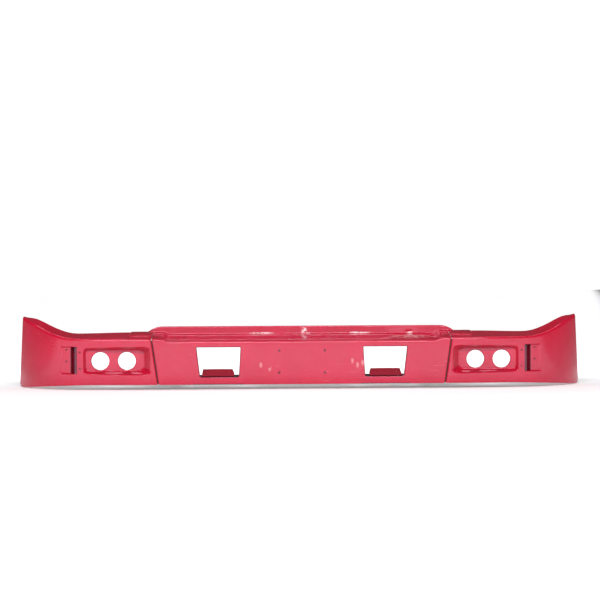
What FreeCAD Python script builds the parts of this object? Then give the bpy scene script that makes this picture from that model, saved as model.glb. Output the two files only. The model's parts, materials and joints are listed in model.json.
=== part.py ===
"""Three-piece pressed steel front bumper of a heavy truck: centre panel, upper lip and two wings,
with the rails, brackets, stays, seam strips and fasteners that hold the shell together behind.

Frame: X runs along the bumper, the front faces -Y and Z is up.  The origin is below the middle of
the bumper, halfway through its depth, at the height of the wing tips' lower edge.  Inside this
script depths are measured from the front plane and heights from the centre panel's lower edge;
every helper adds the datum shift, so the finished solids lie in the frame above.
"""
import FreeCAD, Part
import math
import os

import Sketcher
from FreeCAD import Placement, Rotation, Vector

DRIVING = {
    # whole shell
    "overall_width": 2480, "overall_depth": 212, "gauge": 3, "tip_drop": 22, "flange_depth": 30,
    # seams between the centre panel and the wings
    "seam_foot": 612, "seam_head": 640, "seam_gap": 4,
    # centre panel and its tread
    "face_height": 185, "shoulder_height": 195, "tread_reach": 576, "shoulder_reach": 594,
    "tread_depth": 110, "tread_slope": 13,
    # apertures and the tongue plates behind their sills
    "aperture_inner_head": 262, "aperture_inner_foot": 270, "aperture_outer_head": 449,
    "aperture_outer_foot": 434, "aperture_sill": 33, "aperture_top": 159, "aperture_return": 9,
    "tongue_inner": 290, "tongue_outer": 428, "tongue_depth": 100, "tongue_slope": 14.5,
    "tongue_chamfer": 10, "tongue_hole_depth": 60, "tongue_hole_inner": 318,
    "tongue_hole_outer": 408, "tongue_hole_radius": 5.5,
    # number-plate fixings
    "plate_hole_reach": 97, "plate_hole_low": 50, "plate_hole_high": 144, "plate_hole_radius": 3.5,
    # upper lip
    "lip_foot": 196, "lip_height": 245, "lip_reach": 666, "lip_flat": 603, "lip_shoulder": 222,
    "lip_return": 22,
    # wing plan curve: a gentle sweep, then the corner
    "sweep_start": 600, "sweep_end": 960, "sweep_radius": 2587, "corner_radius": 412,
    # wing outline seen from the front
    "wing_low_top": 191.5, "flare_middle": 1110, "flare_rise": 26.5, "tip_top": 1222,
    "tip_top_height": 247, "flare_end_radius": 602, "droop_start": 850, "tip_corner": 12,
    "wing_level_end": 745, "hollow_overrun": 50, "press_start": -10,
    "shelf_bend": 950, "shelf_tip_reach": 1182, "shelf_tip_depth": 179,
    # lamp pocket
    "pocket_inner": 645, "pocket_outer": 930, "pocket_low": 44, "pocket_high": 162,
    "pocket_depth": 40, "pocket_inner_draft": 35, "pocket_draft": 16, "lamp_height": 101,
    "lamp_inner": 749, "lamp_outer": 862, "lamp_radius": 38, "collar_length": 9,
    # marker-lamp recess outboard of the pocket
    "groove_inner": 960, "groove_floor": 976, "groove_depth": 56,
    "groove_low": 50, "groove_high": 160, "groove_draft": 32, "groove_end_draft": 0.12,
    "pad_end_draft": 0.3, "pad_overrun": 10, "pad_inner": 984, "pad_outer": 1026,
    "pad_inset": 8, "marker_hole_radius": 2.5, "marker_inner": 946, "marker_outer": 1006,
    "marker_inner_low": 70, "marker_inner_high": 140, "marker_outer_low": 100,
    "marker_outer_high": 150, "marker_nut": 6.5, "marker_nut_height": 5,
    # rails behind the centre panel
    "rail_length": 1120, "lower_rail_front": 36, "lower_rail_top": 39, "lower_rail_back": 50,
    "upper_rail_front": 44, "upper_rail_low": 165, "upper_rail_lip": 60,
    # chassis brackets
    "bracket_plate": 5, "bracket_inner": 485, "bracket_outer": 590, "bracket_low": 39,
    "bracket_high": 165, "bracket_hole_span": 60, "bracket_hole_rise": 80,
    "bracket_hole_radius": 8.5,
    # stays and wing brackets
    "stay_leg": 28, "stay_gauge": 4, "stay_depth": 74, "upper_stay_height": 150,
    "lower_stay_height": 8, "wing_bracket_reach": 1080, "wing_bracket_low": 4,
    "wing_bracket_high": 190,
    # straps on the wing shelves, seam strips and ribs
    "strap_inner": 646, "strap_outer": 738, "strap_front": 44, "strap_height": 4,
    "strap_setback": 2, "strip_setback": 5, "rail_setback": 10, "rib_toe": 8, "rib_gauge": 4, "rib_pitch": 270,
    # fasteners
    "bolt_radius": 4, "bolt_play": 0.5, "bolt_tail": 3, "seam_bolt_depth": 18, "drill_overrun": 1, "bolt_head": 7.5, "bolt_head_height": 5.5, "washer_radius": 9,
    "washer_height": 1.6, "nut_height": 6.5, "seam_bolt_low": 36, "seam_bolt_pitch": 62,
    "clip_nut": 6.5, "clip_nut_height": 5, "tongue_nut": 9.5, "tongue_nut_height": 8,
}

doc = FreeCAD.newDocument("front_bumper")
sheet = doc.addObject("Spreadsheet::Sheet", "Dims")
for row, (alias, number) in enumerate(DRIVING.items(), start=1):
    sheet.set(f"A{row}", alias)
    sheet.set(f"B{row}", str(number))
    sheet.setAlias(f"B{row}", alias)
doc.recompute()


class Size:
    """A number together with the spreadsheet formula that gives it."""

    def __init__(self, value, formula):
        self.value = float(value)
        self.formula = formula

    def _join(self, other, symbol, value):
        return Size(value, f"({self.formula} {symbol} {as_size(other).formula})")

    def __add__(self, other):
        return self._join(other, "+", self.value + as_size(other).value)

    def __sub__(self, other):
        return self._join(other, "-", self.value - as_size(other).value)

    def __mul__(self, other):
        return self._join(other, "*", self.value * as_size(other).value)

    def __truediv__(self, other):
        return self._join(other, "/", self.value / as_size(other).value)

    def __rsub__(self, other):
        return as_size(other) - self

    def __neg__(self):
        return self * -1

    __radd__ = __add__
    __rmul__ = __mul__


def as_size(number):
    """Plain numbers become sizes whose formula is the number itself."""
    return number if isinstance(number, Size) else Size(number, f"({float(number)})")


def root(size):
    return Size(math.sqrt(size.value), f"sqrt({size.formula})")


def sine(degrees):
    return Size(math.sin(math.radians(degrees.value)), f"sin({degrees.formula})")


def cosine(degrees):
    return Size(math.cos(math.radians(degrees.value)), f"cos({degrees.formula})")


def tangent(degrees):
    return Size(math.tan(math.radians(degrees.value)), f"tan({degrees.formula})")


def dim(alias):
    return Size(sheet.get(alias), f"Dims.{alias}")


GAUGE = dim("gauge")
HALF_WIDTH = dim("overall_width") / 2
DATUM_DEPTH = dim("overall_depth") / -2
DATUM_HEIGHT = dim("tip_drop")
SLOPE = dim("tread_slope")
RISE = tangent(SLOPE)
FAR = 500  # reach of cutting solids beyond the part
ALONG_Y = Rotation(Vector(1, 0, 0), -90)
UPRIGHT = Rotation()


# --- bound primitives --------------------------------------------------------------------------
def bind(item, **sizes):
    for name, size in sizes.items():
        item.setExpression(name, as_size(size).formula)


def put(item, across, depth, height, turn=UPRIGHT):
    """Places an item at a point given in the part's own depths and heights."""
    item.Placement = Placement(Vector(0, 0, 0), turn)
    item.setExpression(".Placement.Base.x", as_size(across).formula)
    item.setExpression(".Placement.Base.y", (as_size(depth) + DATUM_DEPTH).formula)
    item.setExpression(".Placement.Base.z", (as_size(height) + DATUM_HEIGHT).formula)
    return item


def box(name, across, depth, height, turn=UPRIGHT):
    """A box from three (start, end) pairs."""
    item = doc.addObject("Part::Box", name)
    bind(item, Length=as_size(across[1]) - across[0], Width=as_size(depth[1]) - depth[0],
         Height=as_size(height[1]) - height[0])
    return put(item, across[0], depth[0], height[0], turn)


def cylinder(name, radius, length, across, depth, height, turn=ALONG_Y):
    item = doc.addObject("Part::Cylinder", name)
    bind(item, Radius=radius, Height=length)
    return put(item, across, depth, height, turn)


def hexagon(name, radius, length, across, depth, height, turn):
    item = doc.addObject("Part::Prism", name)
    item.Polygon = 6
    bind(item, Circumradius=radius, Height=length)
    return put(item, across, depth, height, turn)


def wedge(name, front, front_box, back, back_box):
    """A tapered block between a front and a back rectangle, each (x0, x1, z0, z1)."""
    item = doc.addObject("Part::Wedge", name)
    bind(item, Ymin=front, Xmin=front_box[0], Xmax=front_box[1], Zmin=front_box[2],
         Zmax=front_box[3], Ymax=back, X2min=back_box[0], X2max=back_box[1],
         Z2min=back_box[2], Z2max=back_box[3])
    return put(item, 0, 0, 0)


def cut(name, base, tool):
    item = doc.addObject("Part::Cut", name)
    item.Base = base
    item.Tool = tool
    return item


def join(name, items):
    item = doc.addObject("Part::MultiFuse", name)
    item.Shapes = items
    return item


def overlap(name, items):
    item = doc.addObject("Part::MultiCommon", name)
    item.Shapes = items
    return item


def group(name, items):
    item = doc.addObject("Part::Compound", name)
    item.Links = items
    return item


def mirrored(name, source):
    item = doc.addObject("Part::Mirroring", name)
    item.Source = source
    item.Base = Vector(0, 0, 0)
    item.Normal = Vector(1, 0, 0)
    return item


# --- outlines: closed sketches whose corners and radii are bound to the sheet --------------------
VIEWS = {
    "plan": Rotation(),                            # sketch x, y are X, Y
    "front": Rotation(Vector(1, 0, 0), 90),        # sketch x, y are X, Z
    "side": Rotation(Vector(1, 1, 1), 120),        # sketch x, y are Y, Z
}


def arc_between(start, end, radius, leftward):
    """The minor arc through two points, turning left or right on the way."""
    chord = end - start
    side = Vector(-chord.y, chord.x, 0)
    side.normalize()
    sagitta_arm = math.sqrt(radius * radius - (chord.Length / 2) ** 2)
    centre = (start + end) / 2 + side * (sagitta_arm if leftward else -sagitta_arm)
    first, last = (start, end) if leftward else (end, start)
    angles = [math.atan2(p.y - centre.y, p.x - centre.x) for p in (first, last)]
    return Part.ArcOfCircle(Part.Circle(centre, Vector(0, 0, 1), radius), *angles)


def outline(name, view, corners, start=0):
    """A closed sketch, set off along its view by a start distance.  Each corner is (x, y) or
    (x, y, radius, turn), where the edge that leaves it is an arc turning "left" or "right"."""
    sketch = doc.addObject("Sketcher::SketchObject", name)
    offset = {"side": (start, 0, 0), "front": (0, start, 0), "plan": (0, 0, start)}[view]
    put(sketch, *offset, VIEWS[view])
    corners = [[as_size(part) if not isinstance(part, str) else part for part in corner]
               for corner in corners]
    points = [Vector(corner[0].value, corner[1].value, 0) for corner in corners]
    ends = []
    for index, corner in enumerate(corners):
        start = points[index]
        end = points[(index + 1) % len(points)]
        if len(corner) == 2:
            sketch.addGeometry(Part.LineSegment(start, end), False)
            ends.append((1, 2))
            continue
        leftward = corner[3] == "left"
        sketch.addGeometry(arc_between(start, end, corner[2].value, leftward), False)
        ends.append((1, 2) if leftward else (2, 1))
    for index, corner in enumerate(corners):
        after = (index + 1) % len(corners)
        sketch.addConstraint(
            Sketcher.Constraint("Coincident", index, ends[index][1], after, ends[after][0]))
        rules = [("DistanceX", (-1, 1, index, ends[index][0]), corner[0]),
                 ("DistanceY", (-1, 1, index, ends[index][0]), corner[1])]
        if len(corner) == 4:
            rules.append(("Radius", (index,), corner[2]))
        for rule, where, size in rules:
            number = sketch.addConstraint(Sketcher.Constraint(rule, *where, size.value))
            sketch.setExpression(f"Constraints[{number}]", size.formula)
    return sketch


def extrude(name, sketch, length, direction):
    item = doc.addObject("Part::Extrusion", name)
    item.Base = sketch
    item.DirMode = "Custom"
    item.Dir = direction
    item.Solid = True
    bind(item, LengthFwd=length)
    return item


BACKWARD = Vector(0, 1, 0)
UPWARD = Vector(0, 0, 1)
SIDEWAYS = Vector(1, 0, 0)
UP_THE_TREAD = Vector(0, cosine(SLOPE).value, sine(SLOPE).value)


def lowered(name, solid, drop):
    """The same extrusion set lower by a vertical distance."""
    item = doc.addObject("Part::Compound", name)
    item.Links = [solid]
    item.setExpression(".Placement.Base.z", (-drop).formula)
    return item


def seam_reach(height):
    """Half-width of the seam's middle line at a height."""
    lean = (dim("seam_head") - dim("seam_foot")) / dim("shoulder_height")
    return dim("seam_foot") + lean * height


# --- centre panel --------------------------------------------------------------------------------
def panel_top_outline():
    """Everything below the panel's top edge: shoulders at the ends, the recessed tread between."""
    shoulder = dim("shoulder_height")
    right = [(HALF_WIDTH, -DATUM_HEIGHT), (HALF_WIDTH, shoulder),
             (dim("shoulder_reach"), shoulder), (dim("tread_reach"), dim("face_height"))]
    left = [(-across, height) for across, height in reversed(right)]
    return outline("panel_top_outline", "front", right + left)


def panel_side_outline(name, inset):
    """The trapezoid between the two seams, drawn inside itself by an inset."""
    side = dim("seam_gap") / 2 + inset
    low = as_size(inset)
    high = dim("shoulder_height") * 2
    right = [(seam_reach(low) - side, low), (seam_reach(high) - side, high)]
    left = [(-across, height) for across, height in reversed(right)]
    return outline(name, "front", right + left)


def aperture_corners(side, grow):
    """Trapezoid of one aperture, grown outward by a distance."""
    inner = (dim("aperture_inner_foot") - grow, dim("aperture_inner_head") - grow)
    outer = (dim("aperture_outer_foot") + grow, dim("aperture_outer_head") + grow)
    low = dim("aperture_sill") - grow
    high = dim("aperture_top") + grow
    corners = [(inner[0], low), (outer[0], low), (outer[1], high), (inner[1], high)]
    return [(across * side, height) for across, height in corners]


def slanted_plate(name, outline_sketch, angle, depth, height):
    """A plate drawn in plan and tilted up to the rear about its front edge."""
    tilt = doc.addObject("Part::Extrusion", name)
    tilt.Base = outline_sketch
    tilt.DirMode = "Custom"
    tilt.Dir = UPWARD
    tilt.Solid = True
    bind(tilt, LengthFwd=GAUGE)
    holder = group(name + "_tilted", [tilt])
    put(holder, 0, depth, height, Rotation(Vector(1, 0, 0), angle.value))
    return holder


def right_tongue():
    """The plate set back from an aperture's sill, with its two holes."""
    inner = dim("tongue_inner")
    outer = dim("tongue_outer")
    slope = dim("tongue_slope")
    reach = dim("tongue_depth") / cosine(slope)
    corners = [(inner, 0), (outer, 0), (outer, reach), (inner + dim("tongue_chamfer"), reach),
               (inner, reach / 2)]
    sketch = outline("tongue_outline", "plan", corners)
    sketch.setExpression(".Placement.Base.y", "0")
    sketch.setExpression(".Placement.Base.z", "0")
    plate = slanted_plate("tongue_plate", sketch, slope, sine(slope) * GAUGE,
                          dim("aperture_sill") - GAUGE)
    turn = Rotation(Vector(1, 0, 0), slope.value)
    spaces = [cylinder(f"tongue_hole_{place}", dim("tongue_hole_radius"), 4 * GAUGE,
                       dim(f"tongue_hole_{place}"), *tongue_point(-2 * GAUGE), turn)
              for place in ("inner", "outer")]
    spaces.append(box("tongue_front", (0, HALF_WIDTH), (-GAUGE, dim("aperture_return")), (0, FAR)))
    return cut("right_tongue", plate, join("tongue_spaces", spaces))


def tongue_point(above):
    """Depth and height of the holes' centre, a distance above the tongue's underside."""
    slope = dim("tongue_slope")
    along = dim("tongue_hole_depth")
    return (along - sine(slope) * above,
            dim("aperture_sill") - GAUGE + tangent(slope) * along + cosine(slope) * above)


def centre_panel():
    flange = dim("flange_depth")
    under_top = extrude("panel_under_top", panel_top_outline(), dim("tread_depth") / cosine(SLOPE),
                        UP_THE_TREAD)
    between_seams = extrude("panel_between_seams", panel_side_outline("panel_sides", 0),
                            dim("tread_depth"), BACKWARD)
    block = overlap("panel_block", [under_top, between_seams])
    hollow_top = lowered("panel_hollow_top", under_top, GAUGE / cosine(SLOPE))
    inside = extrude("panel_inside", panel_side_outline("panel_inside_sides", GAUGE), flange,
                     BACKWARD)
    behind_face = box("panel_behind_face", (-HALF_WIDTH, HALF_WIDTH), (GAUGE, FAR),
                      (-DATUM_HEIGHT, FAR))
    behind_flanges = box("panel_behind_flanges", (-HALF_WIDTH, HALF_WIDTH), (flange, FAR),
                         (-DATUM_HEIGHT, FAR))
    near_room = overlap("panel_near_room", [inside, behind_face])
    room = overlap("panel_room", [hollow_top, join("panel_rooms", [near_room, behind_flanges])])
    shell = cut("panel_shell", block, room)
    additions = []
    removals = []
    for side, hand in ((-1, "left"), (1, "right")):
        frame = extrude(f"{hand}_return", outline(f"{hand}_return_outline", "front",
                                                  aperture_corners(side, GAUGE)),
                        dim("aperture_return"), BACKWARD)
        opening = extrude(f"{hand}_aperture", outline(f"{hand}_aperture_outline", "front",
                                                      aperture_corners(side, 0)),
                          dim("aperture_return") * 2, BACKWARD)
        additions.append(cut(f"{hand}_return_frame", frame, opening))
        removals.append(opening)
    holed = cut("panel_open", shell, join("panel_openings", removals))
    full = join("panel_full", [holed] + additions)
    drills = []
    for side, hand in ((-1, "left"), (1, "right")):
        drills += seam_drills(side, hand + "_panel")
        for level in ("low", "high"):
            drills.append(cylinder(f"{hand}_plate_hole_{level}", dim("plate_hole_radius"),
                                   GAUGE * 4, dim("plate_hole_reach") * side, -GAUGE,
                                   dim(f"plate_hole_{level}")))
    return cut("centre_panel", full, join("panel_drills", drills))


# --- seam hardware ---------------------------------------------------------------------------------
SEAM_LEAN = math.degrees(math.atan2(dim("seam_head").value - dim("seam_foot").value,
                                    dim("shoulder_height").value))


def seam_turn(side):
    """Turns a cylinder's axis square to a seam, pointing outboard."""
    return Rotation(Vector(0, 1, 0), side * (90 + SEAM_LEAN))


def seam_points():
    """Heights of the three bolts of a seam."""
    return [dim("seam_bolt_low") + dim("seam_bolt_pitch") * index for index in range(3)]


def seam_bore(name, radius, start, length, height, side, shape=cylinder):
    """A round or hexagonal solid on a seam bolt's axis, from a distance outboard of the seam."""
    lean = math.radians(SEAM_LEAN)
    across = (seam_reach(height) + as_size(start) * math.cos(lean)) * side
    drop = as_size(height) - as_size(start) * math.sin(lean)
    return shape(name, radius, length, across, dim("seam_bolt_depth"), drop, seam_turn(side))


def seam_drills(side, name):
    return [seam_bore(f"{name}_drill_{index}", dim("bolt_radius") + dim("bolt_play"), -4 * GAUGE, 8 * GAUGE,
                      height, side) for index, height in enumerate(seam_points())]


def seam_strip(side, name):
    """The packing strip between the two seam flanges, set back from the face."""
    low = GAUGE
    high = dim("shoulder_height") - 2 * GAUGE
    gap = dim("seam_gap") / 2
    corners = [(seam_reach(low) - gap, low), (seam_reach(low) + gap, low),
               (seam_reach(high) + gap, high), (seam_reach(high) - gap, high)]
    body = extrude(name + "_bar", outline(name + "_outline", "front",
                                          [(across * side, height) for across, height in corners]),
                   dim("flange_depth"), BACKWARD)
    slab = overlap(name + "_slab", [body, box(name + "_range", (-FAR * 2, FAR * 2),
                                              (dim("strip_setback"), dim("flange_depth")),
                                              (0, FAR))])
    return cut(name, slab, join(name + "_drills", seam_drills(side, name)))


def seam_fasteners():
    """Bolts, washers and nuts of both seams: heads on the wing side, nuts on the panel side."""
    stack = dim("seam_gap") / 2 + GAUGE
    over = dim("drill_overrun")
    washers = []
    bolts = []
    nuts = []
    for side, hand in ((-1, "left"), (1, "right")):
        for index, height in enumerate(seam_points()):
            tag = f"{hand}_{index}"
            head_start = stack + dim("washer_height")
            head = seam_bore(f"head_{tag}", dim("bolt_head"), head_start,
                             dim("bolt_head_height"), height, side, hexagon)
            tail = stack + dim("nut_height") + dim("bolt_tail")
            shank = seam_bore(f"shank_{tag}", dim("bolt_radius"), -tail,
                              tail + head_start, height, side)
            bolts.append(join(f"bolt_{tag}", [head, shank]))
            disc = seam_bore(f"disc_{tag}", dim("washer_radius"), stack, dim("washer_height"),
                             height, side)
            washers.append(cut(f"washer_{tag}", disc, seam_bore(
                f"disc_hole_{tag}", dim("bolt_radius"), stack - over,
                dim("washer_height") + over * 2, height, side)))
            block = seam_bore(f"block_{tag}", dim("bolt_head"), -(stack + dim("nut_height")),
                              dim("nut_height"), height, side, hexagon)
            nuts.append(cut(f"nut_{tag}", block, seam_bore(
                f"block_hole_{tag}", dim("bolt_radius"), -(stack + dim("nut_height") + over),
                dim("nut_height") + over * 2, height, side)))
    return [group("seam_bolts", bolts), group("seam_washers", washers), group("seam_nuts", nuts)]


# --- wings -------------------------------------------------------------------------------------------
SWEEP_RUN = dim("sweep_end") - dim("sweep_start")
SWEEP_SINE = SWEEP_RUN / dim("sweep_radius")
SWEEP_COSINE = root(1 - SWEEP_SINE * SWEEP_SINE)
CORNER_ACROSS = dim("sweep_end") - dim("corner_radius") * SWEEP_SINE
CORNER_DEPTH = (dim("sweep_radius") * (1 - SWEEP_COSINE)) + dim("corner_radius") * SWEEP_COSINE
PLAN_END = HALF_WIDTH + 6


def sweep_depth(across, inset=0):
    """Depth of the face, or of a surface set in from it, along the gentle sweep."""
    run = across - dim("sweep_start")
    reach = dim("sweep_radius") - inset
    return dim("sweep_radius") - root(reach * reach - run * run)


def corner_depth(across, inset=0):
    """Depth of the face, or of a surface set in from it, round the corner."""
    run = across - CORNER_ACROSS
    reach = dim("corner_radius") - inset
    return CORNER_DEPTH - root(reach * reach - run * run)


def front_curve(inset):
    """Plan corners along the wing's front, set in by a distance, from the seam to the tip."""
    sweep = dim("sweep_radius") - inset
    corner = dim("corner_radius") - inset
    change = (dim("sweep_start") + sweep * SWEEP_SINE, dim("sweep_radius") - sweep * SWEEP_COSINE)
    return [(dim("sweep_start"), as_size(inset), sweep, "left"),
            (*change, corner, "left"),
            (PLAN_END, corner_depth(PLAN_END, inset))]


def behind_front(name, inset):
    """Everything behind the wing's front surface set in by a distance."""
    corners = front_curve(inset) + [(PLAN_END, FAR), (dim("sweep_start"), FAR)]
    sketch = outline(name + "_plan", "plan", corners, -FAR / 2)
    return extrude(name, sketch, FAR * 1.5, UPWARD)


def wing_plan():
    """Plan of the wing's block: the front curve and the shelf's rear edge, thin at the tip."""
    tip_inset = 3 * GAUGE
    run = dim("shelf_tip_reach") - dim("shelf_bend")
    back = dim("shelf_tip_depth") - dim("tread_depth")
    rear = [(PLAN_END, corner_depth(PLAN_END, tip_inset), dim("corner_radius") - tip_inset, "right"),
            (dim("tip_top"), corner_depth(dim("tip_top"), tip_inset)),
            (dim("shelf_tip_reach"), dim("shelf_tip_depth"), (run * run + back * back) / (back * 2),
             "right"),
            (dim("shelf_bend"), dim("tread_depth")),
            (dim("sweep_start"), dim("tread_depth"))]
    return outline("wing_plan", "plan", front_curve(0) + rear, -FAR / 2)


def wing_top_outline():
    """Everything below the wing's top edge, which flares up toward the tip."""
    low = -dim("overall_depth")
    run = dim("flare_middle") - dim("sweep_end")
    rise = dim("flare_rise")
    return outline("wing_top_outline", "front", [
        (dim("sweep_start"), low),
        (HALF_WIDTH + dim("overall_depth"), low),
        (HALF_WIDTH + dim("overall_depth"), dim("tip_top_height")),
        (dim("tip_top"), dim("tip_top_height"), dim("flare_end_radius"), "left"),
        (dim("flare_middle"), dim("wing_low_top") + rise, (run * run + rise * rise) / (rise * 2),
         "right"),
        (dim("sweep_end"), dim("wing_low_top")),
        (dim("wing_level_end"), dim("shoulder_height")),
        (dim("sweep_start"), dim("shoulder_height"))])


def wing_side_outline(name, inset, tip):
    """Front outline of a wing with an open top: the seam, the drooping edge and the raked tip."""
    side = dim("seam_gap") / 2 + inset
    low = as_size(inset)
    high = dim("shoulder_height") * 2
    foot = low - dim("tip_drop")
    run = HALF_WIDTH - dim("tip_corner") - dim("droop_start")
    drop = dim("tip_drop")
    rake = (HALF_WIDTH - dim("tip_top")) / (dim("tip_top_height") - dim("tip_corner") + drop)
    top_reach = HALF_WIDTH - rake * (high - foot - dim("tip_corner"))
    return outline(name, "front", [
        (seam_reach(low) + side, low),
        (dim("droop_start"), low, (run * run + drop * drop) / (drop * 2), "right"),
        (HALF_WIDTH - dim("tip_corner") + tip, foot, dim("tip_corner"), "left"),
        (HALF_WIDTH + tip, foot + dim("tip_corner")),
        (top_reach + tip, high),
        (seam_reach(high) + side, high)])


def pocket_block(name, grow):
    """The lamp pocket's drafted space, or the same grown outward by the sheet's gauge."""
    front = dim("press_start")
    back = dim("pocket_depth") + grow
    draft = tangent(dim("pocket_draft"))
    inner_draft = tangent(dim("pocket_inner_draft"))
    outer_face = sweep_depth(dim("pocket_outer"))

    def face_at(depth):
        return (dim("pocket_inner") + inner_draft * depth - grow,
                dim("pocket_outer") + draft * (outer_face - depth) + grow,
                dim("pocket_low") + draft * depth - grow,
                dim("pocket_high") - draft * depth + grow)

    return wedge(name, front, face_at(front), back, face_at(back))


def groove_block(name, grow):
    """The marker lamp's deep groove: one steep wall inboard, one drafted wall outboard."""
    front = dim("press_start")
    back = dim("groove_depth") + grow
    draft = tangent(dim("groove_draft"))
    end_draft = dim("groove_end_draft")

    def face_at(depth):
        above_floor = dim("groove_depth") - depth
        return (dim("groove_inner") - grow,
                dim("groove_floor") + draft * above_floor + grow,
                dim("groove_low") - end_draft * above_floor - grow,
                dim("groove_high") + end_draft * above_floor + grow)

    return wedge(name, front, face_at(front), back, face_at(back))


def pad_block(name, grow):
    """The shallow recess outboard of the groove, its floor parallel to the wing's face."""
    front = dim("press_start")
    floor = corner_depth(dim("pad_outer")) + dim("pad_inset")
    back = floor + grow + dim("pad_overrun")
    end_draft = dim("pad_end_draft")

    def face_at(depth):
        above_floor = floor - depth
        return (dim("pad_inner") - grow,
                dim("pad_outer") + above_floor + grow,
                dim("groove_low") - end_draft * above_floor - grow,
                dim("groove_high") + end_draft * above_floor + grow)

    tapered = wedge(name + "_taper", front, face_at(front), back, face_at(back))
    return cut(name, tapered, behind_front(name + "_floor", dim("pad_inset") + grow))


def marker_points():
    """Across and height of the four marker-lamp screw holes, with the sheet's depth there."""
    inner = dim("marker_inner")
    outer = dim("marker_outer")
    return [(inner, dim("marker_inner_low"), sweep_depth(inner)),
            (inner, dim("marker_inner_high"), sweep_depth(inner)),
            (outer, dim("marker_outer_low"), corner_depth(outer) + dim("pad_inset")),
            (outer, dim("marker_outer_high"), corner_depth(outer) + dim("pad_inset"))]


def right_wing():
    flange = dim("flange_depth")
    under_top = extrude("wing_under_top", wing_top_outline(), FAR, UP_THE_TREAD)
    within_sides = extrude("wing_within_sides", wing_side_outline("wing_sides", 0, 0), FAR, BACKWARD)
    in_plan = extrude("wing_in_plan", wing_plan(), FAR * 1.5, UPWARD)
    block = overlap("wing_block", [in_plan, under_top, within_sides])
    hollow_top = lowered("wing_hollow_top", under_top, GAUGE / cosine(SLOPE))
    inside = extrude("wing_inside", wing_side_outline(
        "wing_inside_sides", GAUGE, dim("hollow_overrun")), FAR, BACKWARD)
    near_room = overlap("wing_near_room", [inside, behind_front("wing_behind_face", GAUGE)])
    rooms = join("wing_rooms", [near_room, behind_front("wing_behind_flanges", flange)])
    open_room = overlap("wing_open_room", [hollow_top, rooms])
    lamps = [dim("lamp_inner"), dim("lamp_outer")]
    pocket_back = dim("pocket_depth") + dim("collar_length")
    collars = [cylinder(f"collar_{index}", dim("lamp_radius") + GAUGE, pocket_back / 2, across,
                        pocket_back / 2, dim("lamp_height")) for index, across in enumerate(lamps)]
    backs = [pocket_block("pocket_back", GAUGE), groove_block("groove_back", GAUGE),
             pad_block("pad_back", GAUGE)]
    room = cut("wing_room", open_room, join("wing_backs", backs + collars))
    shell = cut("wing_shell", block, room)
    bores = [cylinder(f"lamp_bore_{index}", dim("lamp_radius"), pocket_back * 1.5, across, 0,
                      dim("lamp_height")) for index, across in enumerate(lamps)]
    bores += [cylinder(f"marker_hole_{index}", dim("marker_hole_radius"), 4 * GAUGE, across,
                       depth - 2 * GAUGE, height)
              for index, (across, height, depth) in enumerate(marker_points())]
    spaces = [pocket_block("pocket_space", 0), groove_block("groove_space", 0),
              pad_block("pad_space", 0)]
    return cut("right_wing", shell, join("wing_spaces", spaces + bores + seam_drills(1, "wing")))


# --- upper lip, straps and ribs ------------------------------------------------------------------------
def upper_lip():
    """The upright lip behind the tread, its top returned rearward and its ends rounded down."""
    run = dim("lip_reach") - dim("lip_flat")
    fall = dim("lip_height") - dim("lip_shoulder")
    radius = (run * run + fall * fall) / (fall * 2)
    face = outline("lip_outline", "front", [
        (-dim("lip_reach"), dim("lip_foot")), (dim("lip_reach"), dim("lip_foot")),
        (dim("lip_reach"), dim("lip_shoulder"), radius, "left"),
        (dim("lip_flat"), dim("lip_height")),
        (-dim("lip_flat"), dim("lip_height"), radius, "left"),
        (-dim("lip_reach"), dim("lip_shoulder"))], dim("tread_depth"))
    plate = extrude("lip_plate", face, GAUGE, BACKWARD)
    back = dim("tread_depth") + GAUGE
    fold = box("lip_fold", (-dim("lip_flat"), dim("lip_flat")),
               (back, back + dim("lip_return")), (dim("lip_height") - GAUGE, dim("lip_height")))
    return join("upper_lip", [plate, fold])


def right_strap():
    """The doubler strap welded on the wing's shelf beside the lip's end."""
    front = dim("strap_front")
    run = (dim("tread_depth") - front) / cosine(SLOPE) - dim("strap_setback")
    tilt = Rotation(Vector(1, 0, 0), SLOPE.value)
    strap = box("right_strap", (dim("strap_inner"), dim("strap_outer")), (0, run),
                (0, dim("strap_height")), tilt)
    return put(strap, dim("strap_inner"), front, dim("shoulder_height") + RISE * front, tilt)


def lip_ribs():
    """Five gusset ribs that tie the lip's return to the upper rail."""
    rail_back = dim("tread_depth") - dim("rail_setback")
    lip_back = dim("tread_depth") + GAUGE
    return_back = lip_back + dim("lip_return")
    ribs = []
    for index in range(-2, 3):
        start = dim("rib_pitch") * index - dim("rib_gauge") / 2
        profile = outline(f"rib_{index + 2}_outline", "side", [
            (rail_back, dim("upper_rail_low")),
            (rail_back + dim("rib_toe"), dim("upper_rail_low")),
            (return_back, dim("lip_foot") + dim("rib_toe")),
            (return_back, dim("lip_height") - GAUGE),
            (lip_back, dim("lip_height") - GAUGE), (lip_back, dim("lip_foot")),
            (rail_back, dim("lip_foot"))], start)
        ribs.append(extrude(f"rib_{index + 2}", profile, dim("rib_gauge"), SIDEWAYS))
    return group("lip_ribs", ribs)


# --- rails -----------------------------------------------------------------------------------------------
def rail(name, corners):
    profile = outline(name + "_outline", "side", corners, dim("rail_length") / -2)
    return extrude(name, profile, dim("rail_length"), SIDEWAYS)


def lower_rail():
    """Z-section on the panel's bottom flange, carrying the tongues."""
    web = dim("lower_rail_front")
    top = dim("lower_rail_top")
    toe = web / 3
    return rail("lower_rail", [
        (toe, GAUGE), (web + GAUGE, GAUGE), (web + GAUGE, top - GAUGE),
        (dim("lower_rail_back"), top - GAUGE), (dim("lower_rail_back"), top), (web, top),
        (web, GAUGE * 2), (toe, GAUGE * 2)])


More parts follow.
